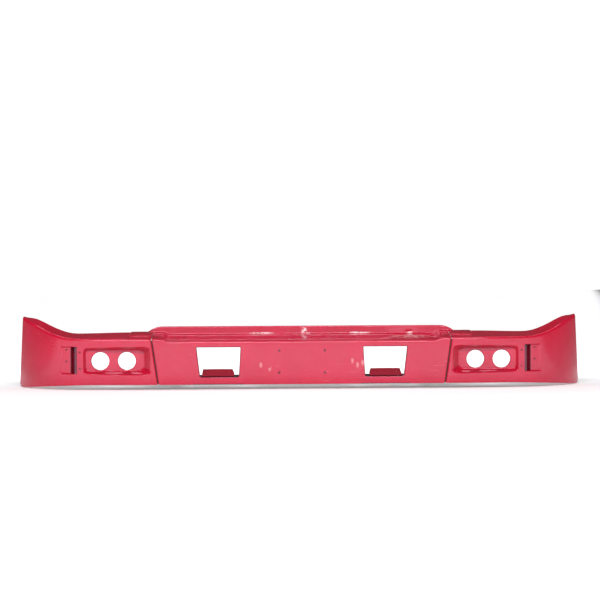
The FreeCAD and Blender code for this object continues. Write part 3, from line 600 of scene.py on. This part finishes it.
def drill(piece, holes):
    """Cuts round holes given as (centre, axis, radius, length)."""
    cutter_mesh = bpy.data.meshes.new("cutter")
    work = bmesh.new()
    for centre, axis, radius, length in holes:
        turn = Vector((0, 0, 1)).rotation_difference(Vector(axis)).to_matrix().to_4x4()
        bmesh.ops.create_cone(work, cap_ends=True, segments=28, radius1=radius, radius2=radius,
                              depth=length, matrix=Matrix.Translation(centre) @ turn)
    work.to_mesh(cutter_mesh)
    work.free()
    cutter = bpy.data.objects.new("cutter", cutter_mesh)
    bpy.context.scene.collection.objects.link(cutter)
    apply_modifier(piece, "holes", "BOOLEAN", object=cutter, operation="DIFFERENCE", solver="EXACT")
    bpy.data.objects.remove(cutter)
    bpy.data.meshes.remove(cutter_mesh)


def closed_nuts(name, places, hole):
    """Hexagonal nuts, closed behind, one at each (across, front of the nut in depth, height)."""
    radius, length, floor, easing = 0.0065, 0.005, 0.001, 0.0004
    work = bmesh.new()
    holes = []
    for x, y, z in places:
        turn = Matrix.Rotation(math.pi / 2, 4, "X")
        middle = Vector((x, FRONT + y + length / 2, BASE + z))
        bmesh.ops.create_cone(work, cap_ends=True, segments=6, radius1=radius, radius2=radius,
                              depth=length, matrix=Matrix.Translation(middle) @ turn)
        holes.append((middle - Vector((0, floor, 0)), (0, 1, 0), hole, length))
    bmesh.ops.bevel(work, geom=work.edges[:], offset=easing, segments=2, affect="EDGES")
    bmesh.ops.recalc_face_normals(work, faces=work.faces)
    mesh = bpy.data.meshes.new(name)
    work.to_mesh(mesh)
    work.free()
    piece = finish_mesh(name, mesh)
    drill(piece, holes)
    return piece


# --- upper lip and straps ---------------------------------------------------------------------------------
def lip_skin():
    """The upright lip: a hollow foot on the tread, a folded top and ends rounded down."""
    xs = np.array(steps_between([-LIP_REACH, (-0.560, 0.003), (0.430, 0.006), (0.520, 0.002),
                                 (0.560, 0.005), (LIP_REACH, 0.003)]))
    foot_hollow, top_crown, foot_lead, full_height = 0.007, 0.006, 0.003, 0.022
    fall = LIP_HEIGHT - LIP_SHOULDER
    radius = ((LIP_REACH - LIP_FLAT) ** 2 + fall ** 2) / (2 * fall)
    top = LIP_HEIGHT - arc_rise(np.clip(np.abs(xs) - LIP_FLAT, 0, None), radius)
    foot = panel_top(xs) + RISE * TREAD_DEPTH
    room = np.clip((top - foot) / full_height, 0.04, 1)
    hollow, crown = foot_hollow * room, top_crown * room
    rows = []
    middle = TREAD_DEPTH - hollow
    lowest = middle + hollow * math.sin(TREAD_SLOPE)
    lead = foot_lead * room
    base = panel_top(xs) + 0.0003
    rows.append((xs, lowest - lead, base + RISE * (lowest - lead) - 0.0004))
    centre = base + RISE * lowest + hollow * math.cos(TREAD_SLOPE)
    for turn in np.linspace(TREAD_SLOPE, math.pi / 2, 9):
        rows.append((xs, middle + hollow * math.sin(turn), centre - hollow * math.cos(turn)))
    for share in np.linspace(0, 1, 8)[1:]:
        rows.append((xs, np.full_like(xs, TREAD_DEPTH), centre + (top - crown - centre) * share))
    for turn in np.linspace(0, math.pi / 2, 8)[1:]:
        rows.append((xs, TREAD_DEPTH + crown * (1 - math.cos(turn)),
                     top - crown * (1 - math.sin(turn))))
    reach = (LIP_BACK - TREAD_DEPTH - crown) * (1 - 0.93 * smooth_step(np.abs(xs), 0.600, 0.652))
    for share in np.linspace(0, 1, 5)[1:]:
        rows.append((xs, TREAD_DEPTH + crown + reach * share, top + 0 * xs))
    dent_x, dent_depth, dent_lift, crease_x, crease_depth = 0.472, 0.0030, 0.0006, 0.440, 0.0008
    dented = []
    for x, y, z in rows:
        dent = np.exp(-((x - dent_x) / 0.020) ** 2 - ((z - foot - 0.004) / 0.010) ** 2)
        crease = np.exp(-((x - crease_x) / 0.045) ** 2 - ((z - foot - 0.006) / 0.012) ** 2)
        dented.append((x, y + dent_depth * dent + crease_depth * crease, z + dent_lift * dent))
    skin = Skin()
    skin.grid(dented)
    return skin


def strap_piece(name, node):
    """A welded doubler plate: rounded corners, eased edges and a rippled weld along three sides."""
    low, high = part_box(node)
    thickness, corner, easing = 0.004, 0.007, 0.0012
    clear_front, clear_back, clear_side = 0.006, 0.008, 0.010
    length = (high.y - low.y) / math.cos(math.atan(RISE)) - 0.001
    wide = high.x - low.x
    work = bmesh.new()
    ring = []
    for cx, cy, start in ((wide / 2, length, 0), (-wide / 2, length, 90),
                          (-wide / 2, 0, 180), (wide / 2, 0, 270)):
        for turn in np.radians(np.linspace(start, start + 90, 7)):
            inner_x = cx - math.copysign(corner, cx)
            inner_y = cy - corner if cy else corner
            ring.append(work.verts.new((inner_x + corner * math.cos(turn),
                                        inner_y + corner * math.sin(turn), 0)))
    base = work.faces.new(ring)
    lifted = bmesh.ops.extrude_face_region(work, geom=[base])["geom"]
    top = [item for item in lifted if isinstance(item, bmesh.types.BMVert)]
    bmesh.ops.translate(work, verts=top, vec=(0, 0, thickness))
    work.normal_update()
    rim = [edge for edge in work.edges if all(v.co.z > thickness / 2 for v in edge.verts)]
    bmesh.ops.bevel(work, geom=rim, offset=easing, segments=3, affect="EDGES", profile=0.6)
    bmesh.ops.recalc_face_normals(work, faces=work.faces)
    add_weld(work, [(-wide / 2, clear_front), (-wide / 2, length - clear_back)])
    add_weld(work, [(wide / 2, length - clear_back), (wide / 2, clear_front)])
    add_weld(work, [(wide / 2 - clear_side, 0.0), (-wide / 2 + clear_side, 0.0)])
    mesh = bpy.data.meshes.new(name)
    work.to_mesh(mesh)
    work.free()
    middle = (low.x + high.x) / 2
    slope = Matrix.Rotation(math.atan(RISE), 4, "X")
    lowest = Vector((middle, low.y + 0.0010, BASE + SHOULDER + RISE * (low.y - FRONT) + 0.0002))
    mesh.transform(Matrix.Translation(lowest) @ slope)
    return finish_mesh(name, mesh)


def add_weld(work, line, radius=0.0022):
    """A half-round bead with the ripples of its passes, between two points in the plate's plane."""
    ring_step, pass_length, ripple_size, end_taper, least = 0.0009, 0.0030, 0.14, 12, 0.0002
    tuck, around = 0.3, 8
    start, end = (Vector((*point, 0)) for point in line)
    along = end - start
    count = max(8, int(along.length / ring_step))
    side = along.normalized().cross(Vector((0, 0, 1)))
    rings = []
    for step in range(count + 1):
        share = step / count
        ripple = 1 + ripple_size * math.sin(share * along.length / pass_length * math.tau)
        taper = min(1, end_taper * share, end_taper * (1 - share)) ** 0.5
        size = max(radius * ripple * taper, least)
        middle = start + along * share
        rings.append([work.verts.new(middle + side * size * math.cos(turn)
                                     + Vector((0, 0, size * math.sin(turn))))
                      for turn in np.linspace(-tuck, math.pi + tuck, around)])
    for first, second in zip(rings, rings[1:]):
        for place in range(around - 1):
            work.faces.new((first[place], second[place], second[place + 1], first[place + 1]))


# --- materials -----------------------------------------------------------------------------------------
class Nodes:
    """Short ways to add nodes to a tree."""

    def __init__(self, tree):
        self.tree = tree

    def node(self, kind, **settings):
        made = self.tree.nodes.new("ShaderNode" + kind)
        for key, value in settings.items():
            setattr(made, key, value)
        return made

    def link(self, source, target):
        self.tree.links.new(source, target)

    def split(self, source):
        """The three parts of a vector."""
        made = self.node("SeparateXYZ")
        self.link(source, made.inputs[0])
        return made.outputs

    def ramp(self, source, low, high, start=0.0, end=1.0):
        """Maps low..high of a value to start..end, smoothly."""
        mapped = self.node("MapRange", interpolation_type="SMOOTHSTEP")
        for name, value in (("From Min", low), ("From Max", high), ("To Min", start),
                            ("To Max", end)):
            mapped.inputs[name].default_value = value
        self.link(source, mapped.inputs["Value"])
        return mapped.outputs["Result"]

    def math(self, operation, first, second=0.0):
        made = self.node("Math", operation=operation)
        for socket, value in zip(made.inputs, (first, second)):
            if isinstance(value, (int, float)):
                socket.default_value = value
            else:
                self.link(value, socket)
        return made.outputs[0]

    def product(self, first, second):
        return self.math("MULTIPLY", first, second)


class Finish(Nodes):
    """A node material laid out in the object's own places."""

    def __init__(self, name):
        self.material = bpy.data.materials.new(name)
        self.material.use_nodes = True
        super().__init__(self.material.node_tree)
        self.shader = self.tree.nodes["Principled BSDF"]
        self.place = self.node("TexCoord").outputs["Object"]

    def set(self, **inputs):
        for name, value in inputs.items():
            self.shader.inputs[name.replace("_", " ")].default_value = value

    def noise(self, scale, detail=4.0, rough=0.55, stretch=None):
        texture = self.node("TexNoise")
        source = self.place
        if stretch:
            mapping = self.node("Mapping")
            mapping.inputs["Scale"].default_value = stretch
            self.link(source, mapping.inputs["Vector"])
            source = mapping.outputs["Vector"]
        self.link(source, texture.inputs["Vector"])
        texture.inputs["Scale"].default_value = scale
        texture.inputs["Detail"].default_value = detail
        texture.inputs["Roughness"].default_value = rough
        return texture.outputs["Fac"]

    def mix(self, factor, first, second):
        """Mixes two colours or colour outputs."""
        made = self.node("Mix", data_type="RGBA")
        self.link(factor, made.inputs[0])
        for socket, value in ((made.inputs[6], first), (made.inputs[7], second)):
            if isinstance(value, tuple):
                socket.default_value = (*value, 1)
            else:
                self.link(value, socket)
        return made.outputs[2]

    def spot(self, centre, reach):
        """1 at a place, falling to 0 at an ellipsoid's surface."""
        moved = self.node("Mapping", vector_type="TEXTURE")
        moved.inputs["Location"].default_value = centre
        moved.inputs["Scale"].default_value = reach
        self.link(self.place, moved.inputs["Vector"])
        length = self.node("VectorMath", operation="LENGTH")
        self.link(moved.outputs["Vector"], length.inputs[0])
        return self.ramp(length.outputs["Value"], 0.25, 1.0, 1.0, 0.0)

    def bump(self, height, strength, distance, under=None):
        made = self.node("Bump")
        made.inputs["Strength"].default_value = strength
        made.inputs["Distance"].default_value = distance
        self.link(height, made.inputs["Height"])
        if under is not None:
            self.link(under, made.inputs["Normal"])
        return made.outputs["Normal"]

    def bevel(self, radius):
        made = self.node("Bevel", samples=4)
        made.inputs["Radius"].default_value = radius
        return made.outputs["Normal"]


def strongest(finish, masks):
    """The highest of several masks at each place."""
    total, *others = masks
    for mask in others:
        total = finish.math("MAXIMUM", total, mask)
    return total


def spread(finish, spots):
    """The strongest of several spots."""
    return strongest(finish, [finish.spot(centre, reach) for centre, reach in spots])


def lip_foot_place(x):
    height = float(panel_top(np.array(x))) + RISE * TREAD_DEPTH + 0.004
    return (x, FRONT + TREAD_DEPTH, BASE + height)


LIP_SCUFFS = ((-0.178, 0.075), (0.020, 0.030), (0.240, 0.085), (0.475, 0.020))
LIP_CHIP = ((0.012, FRONT + TREAD_DEPTH, BASE + 0.226), (0.016, 0.012, 0.018))
FACE_SMEARS = ((-0.175, 0.083), (-0.137, 0.068), (-0.102, 0.085),
               (0.214, 0.098), (0.236, 0.081), (0.258, 0.091))
# A painted glare: a pale pink reflection painted on the tread toward its right end.
TREAD_GLARE = ((0.462, FRONT + 0.055, BASE + 0.198), (0.120, 0.050, 0.030))


def painted_edge_shade(paint):
    """Painted shade: darkens the returns of the apertures, lamp holes and marker slots, and the rims of
    small holes, where shade falls.
    """
    fade, head = 0.0012, 0.168
    across, depth, height = paint.split(paint.place)
    aside = paint.math("ABSOLUTE", across)
    masks = []
    # Where the painted shade goes: aperture returns, lamp-hole returns and the marker groove.
    for near, far, start, end in ((0.250, 0.462, -0.0001, 0.0125),
                                  (0.700, 0.908, POCKET_FLOOR + 0.0005, 0.060),
                                  (0.9655, 0.990, 0.0380, 0.070)):
        within = paint.product(paint.math("GREATER_THAN", aside, near),
                               paint.math("LESS_THAN", aside, far))
        within = paint.product(within, paint.math("LESS_THAN", depth, FRONT + end))
        masks.append(paint.product(within, paint.ramp(depth, FRONT + start, FRONT + start + fade)))
    returns = paint.product(strongest(paint, masks), paint.math("LESS_THAN", height, BASE + head))
    plate_rims = [((x, FRONT, BASE + z), (0.0075, 0.006, 0.0075)) for x, z in PLATE_HOLES]
    marker_rims = [((x * side, FRONT + float(pressed_depth(np.array(x), np.array(z))), BASE + z),
                    (0.0065, 0.008, 0.0065)) for x, z in MARKER_HOLES for side in (-1, 1)]
    return paint.math("MAXIMUM", returns, spread(paint, plate_rims + marker_rims))


def red_enamel():
    """Gloss red enamel over steel: orange peel, film of dust, hairline scratches, local scuffs and smears,
    a painted glare on the tread and painted shade in the returns and hole rims.
    """
    paint = Finish("red_enamel")
    paint.set(IOR=1.42, Specular_Tint=(0.80, 0.62, 1.0, 1), Coat_Weight=0.65,
              Coat_Roughness=0.04, Coat_IOR=1.5)
    tone = paint.ramp(paint.noise(7.0, 3.0), 0.35, 0.65)
    colour = paint.mix(tone, (0.460, 0.0048, 0.0260), (0.500, 0.0065, 0.0320))
    dust = paint.ramp(paint.noise(42.0, 8.0, 0.68), 0.52, 0.80, 0.0, 0.035)
    colour = paint.mix(dust, colour, (0.62, 0.34, 0.36))
    scratch = paint.ramp(paint.noise(240.0, 2.0, 0.5, (0.05, 1.0, 1.6)), 0.66, 0.72)
    scratch = paint.product(scratch, paint.ramp(paint.noise(5.0, 2.0), 0.52, 0.66))
    colour = paint.mix(paint.product(scratch, 0.20), colour, (0.80, 0.42, 0.42))
    lip_spots = [(lip_foot_place(x), (wide, 0.012, 0.0045)) for x, wide in LIP_SCUFFS]
    grit = paint.ramp(paint.noise(150.0, 5.0, 0.65, (0.30, 1.0, 1.0)), 0.40, 0.54)
    scuffs = paint.product(spread(paint, lip_spots + [LIP_CHIP]), grit)
    face_spots = [((x, FRONT, BASE + z), (0.009, 0.02, 0.017)) for x, z in FACE_SMEARS]
    streaks = paint.ramp(paint.noise(60.0, 3.0, 0.5), 0.34, 0.60)
    # The face smears are real marks; the tread spot among them is a painted glare.
    smears_and_glare = paint.product(spread(paint, face_spots + [TREAD_GLARE]), streaks)
    colour = paint.mix(paint.product(scuffs, 0.92), colour, (0.86, 0.80, 0.79))
    # Smears and the painted tread glare are mixed toward pale pink.
    colour = paint.mix(paint.product(smears_and_glare, 0.34), colour, (0.85, 0.58, 0.60))
    # Painted shade: returns, the marker groove and small hole rims are mixed toward near-black.
    colour = paint.mix(paint.product(painted_edge_shade(paint), 0.85), colour, (0.050, 0.001, 0.004))
    paint.link(colour, paint.shader.inputs["Base Color"])
    rough = paint.ramp(paint.noise(18.0, 6.0, 0.6), 0.35, 0.75, 0.11, 0.17)
    rough = paint.math("ADD", rough, paint.product(scuffs, 0.35))
    paint.link(paint.math("ADD", rough, dust), paint.shader.inputs["Roughness"])
    peel = paint.bump(paint.noise(330.0, 2.0, 0.4), 0.035, 0.0004)
    wave = paint.bump(paint.noise(6.0, 1.0, 0.3), 0.10, 0.003, peel)
    marks = paint.bump(paint.math("ADD", scuffs, scratch), 0.12, 0.0004, wave)
    paint.link(marks, paint.shader.inputs["Normal"])
    paint.link(wave, paint.shader.inputs["Coat Normal"])
    return paint.material


def black_coat():
    """Black electrocoat: a satin film with dust, faint runs and rubbed edges."""
    coat = Finish("black_electrocoat")
    coat.set(IOR=1.5, Coat_Weight=0.25, Coat_Roughness=0.28)
    tone = coat.ramp(coat.noise(16.0, 5.0), 0.3, 0.7)
    colour = coat.mix(tone, (0.014, 0.014, 0.015), (0.030, 0.030, 0.032))
    dust = coat.ramp(coat.noise(60.0, 8.0, 0.7), 0.52, 0.80, 0.0, 0.35)
    colour = coat.mix(dust, colour, (0.16, 0.15, 0.14))
    coat.link(colour, coat.shader.inputs["Base Color"])
    coat.link(coat.ramp(coat.noise(25.0, 6.0), 0.3, 0.7, 0.38, 0.58),
              coat.shader.inputs["Roughness"])
    coat.link(coat.bump(coat.noise(420.0, 3.0), 0.16, 0.0005, coat.bevel(0.0012)),
              coat.shader.inputs["Normal"])
    return coat.material


def zinc_plate():
    """Bright zinc on fasteners: brushed, slightly clouded, with a bluish passivate."""
    zinc = Finish("zinc_plate")
    zinc.set(Metallic=1.0)
    tone = zinc.ramp(zinc.noise(130.0, 5.0), 0.3, 0.7)
    colour = zinc.mix(tone, (0.50, 0.51, 0.53), (0.68, 0.68, 0.66))
    zinc.link(colour, zinc.shader.inputs["Base Color"])
    zinc.link(zinc.ramp(zinc.noise(500.0, 4.0), 0.3, 0.7, 0.24, 0.46),
              zinc.shader.inputs["Roughness"])
    zinc.link(zinc.bump(zinc.noise(900.0, 2.0, 0.5, (0.1, 1.0, 1.0)), 0.2, 0.0002,
                        zinc.bevel(0.0006)), zinc.shader.inputs["Normal"])
    return zinc.material


def seam_rubber():
    """Matt extruded rubber with a chalky bloom."""
    rubber = Finish("seam_rubber")
    rubber.set(IOR=1.45)
    bloom = rubber.ramp(rubber.noise(90.0, 6.0, 0.65), 0.45, 0.8, 0.0, 0.4)
    colour = rubber.mix(bloom, (0.018, 0.017, 0.016), (0.085, 0.080, 0.076))
    rubber.link(colour, rubber.shader.inputs["Base Color"])
    rubber.link(rubber.ramp(rubber.noise(70.0), 0.3, 0.7, 0.70, 0.88),
                rubber.shader.inputs["Roughness"])
    rubber.link(rubber.bump(rubber.noise(700.0, 2.0), 0.3, 0.0003), rubber.shader.inputs["Normal"])
    return rubber.material


def studio_white():
    """The pale floor: faintly uneven, glowing to read white, less to the sides and by the bumper."""
    floor = Finish("studio_white")
    tone = floor.ramp(floor.noise(0.8, 2.0), 0.3, 0.7)
    floor.link(floor.mix(tone, (0.90, 0.90, 0.905), (0.92, 0.92, 0.925)),
               floor.shader.inputs["Base Color"])
    floor.set(Roughness=0.9, IOR=1.2, Emission_Color=(1, 1, 1, 1))
    across, along, _ = floor.split(floor.place)
    wide = floor.math("MAXIMUM", floor.product(along, 0.30), floor.product(along, -1.0))
    aside = floor.math("SUBTRACT", floor.math("ABSOLUTE", across), wide)
    lit = floor.ramp(aside, 1.40, 2.10, 0.90, 0.15)
    near = floor.spot((0.0, -0.05, 0.0), (3.2, 1.0, 1.0))
    dimmed = floor.ramp(near, 0.0, 1.0, 1.0, 0.22)
    floor.link(floor.product(lit, dimmed), floor.shader.inputs["Emission Strength"])
    return floor.material


# --- putting it together ------------------------------------------------------------------------------
FINISHES = {"red_paint": red_enamel(), "black_coat": black_coat(), "zinc": zinc_plate(),
            "rubber_strip": seam_rubber()}


def dress(piece, slot, *nodes):
    """Gives a new piece its finish and its body, and hides the CAD nodes that it stands for."""
    piece.data.materials.clear()
    piece.data.materials.append(FINISHES[slot])
    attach(piece, "root")
    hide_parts(*nodes)


wing, tongue = wing_skin(), tongue_skin()
for hand, side in (("right", 1), ("left", -1)):
    sheet = wing.build(f"{hand}_wing_sheet", mirrored=side < 0)
    drill(sheet, [((x * side, FRONT + float(face_depth(np.float64(x))), BASE + z), (0, 1, 0),
                   MARKER_HOLE, 0.030) for x, z in MARKER_HOLES])
    dress(sheet, "red_paint", f"{hand}_wing")
    plate = tongue.build(f"{hand}_tongue_plate", mirrored=side < 0)
    drill(plate, [((x * side, FRONT + y, BASE + SILL + TONGUE_RISE * y), (0, -TONGUE_RISE, 1),
                   TONGUE_HOLE, 0.020) for x, y in TONGUE_HOLES])
    dress(plate, "red_paint", f"{hand}_tongue")
    dress(strap_piece(f"{hand}_strap_plate", f"{hand}_strap"), "red_paint", f"{hand}_strap")
panel = panel_skin().build("centre_panel_sheet", both=True)
drill(panel, [((x, FRONT, BASE + z), (0, 1, 0), PLATE_HOLE, 0.020) for x, z in PLATE_HOLES])
dress(panel, "red_paint", "centre_panel")
dress(lip_skin().build("upper_lip_sheet"), "red_paint", "upper_lip")

plate_places = [(x, GAUGE, z) for x, z in PLATE_HOLES]
dress(closed_nuts("number_plate_nuts", plate_places, PLATE_HOLE), "black_coat", "plate_nuts")
marker_places = [(x * side, float(face_depth(np.float64(x))) + GAUGE + inset, z)
                 for side in (-1, 1)
                 for (x, z), inset in zip(MARKER_HOLES, (0.0, 0.0, PAD_INSET, PAD_INSET))]
dress(closed_nuts("marker_lamp_nuts", marker_places, MARKER_HOLE), "black_coat", "marker_nuts")

SLOT_OF = {"rail": "black_coat", "ribs": "black_coat", "bracket": "black_coat",
           "stay": "black_coat", "strip": "rubber_strip"}
for name, node in NODES.items():
    if node.hide_render:
        continue
    kind = SLOT_OF.get(name.split("_")[-1], "zinc")
    if not node.data.materials:
        node.data.materials.append(FINISHES[kind])
    for place in range(len(node.data.materials)):
        node.data.materials[place] = FINISHES[kind]


# --- studio -----------------------------------------------------------------------------------------------
def stage_floor():
    half = 60.0
    mesh = bpy.data.meshes.new("floor")
    mesh.from_pydata([(-half, -half, 0), (half, -half, 0), (half, half, 0), (-half, half, 0)], [],
                     [(0, 1, 2, 3)])
    mesh.materials.append(studio_white())
    floor = bpy.data.objects.new("floor", mesh)
    floor.location.z = low_corner.z
    bpy.context.scene.collection.objects.link(floor)


def soft_light(name, place, target, width, height, power, colour):
    lamp = bpy.data.lights.new(name, "AREA")
    lamp.shape = "RECTANGLE"
    lamp.size, lamp.size_y, lamp.energy, lamp.color = width, height, power, colour
    light = bpy.data.objects.new(name, lamp)
    light.location = place
    light.rotation_euler = (Vector(target) - Vector(place)).to_track_quat("-Z", "Y").to_euler()
    bpy.context.scene.collection.objects.link(light)


def studio_world():
    """White low down before and behind, dim to the sides and overhead."""
    world = bpy.data.worlds.new("studio")
    world.use_nodes = True
    sky = Nodes(world.node_tree)
    across, _, up = sky.split(sky.node("TexCoord").outputs["Generated"])
    fade = sky.ramp(up, 0.262, 0.300, 1.10, 0.07)
    shade = sky.ramp(sky.math("ABSOLUTE", across), 0.42, 0.78, 1.0, 0.10)
    background = world.node_tree.nodes["Background"]
    background.inputs["Color"].default_value = (0.97, 0.98, 1.0, 1)
    sky.link(sky.product(fade, shade), background.inputs["Strength"])
    bpy.context.scene.world = world


def place_camera():
    data = bpy.data.cameras.new("camera")
    data.lens, data.sensor_width = 63.29, 36
    camera = bpy.data.objects.new("camera", data)
    camera.location = (-0.1251, -4.5894, 0.4500)
    ahead = Vector((-0.0080, -0.106, 0.3807)) - camera.location
    roll = Quaternion((0, 0, 1), math.radians(-0.264))
    camera.rotation_mode = "QUATERNION"
    camera.rotation_quaternion = ahead.to_track_quat("-Z", "Y") @ roll
    bpy.context.scene.collection.objects.link(camera)
    bpy.context.scene.camera = camera


stage_floor()
studio_world()
soft_light("key", (-0.2, -3.6, 2.9), (0, 0, 0.1), width=5.0, height=0.8, power=225,
           colour=(1.0, 0.985, 0.995))
soft_light("fold_strip", (0.0, 0.2, 3.0), (0, 0.1, 0), width=5.0, height=0.25, power=26,
           colour=(1.0, 0.97, 1.0))
place_camera()
bpy.context.scene.view_settings.view_transform = "Standard"
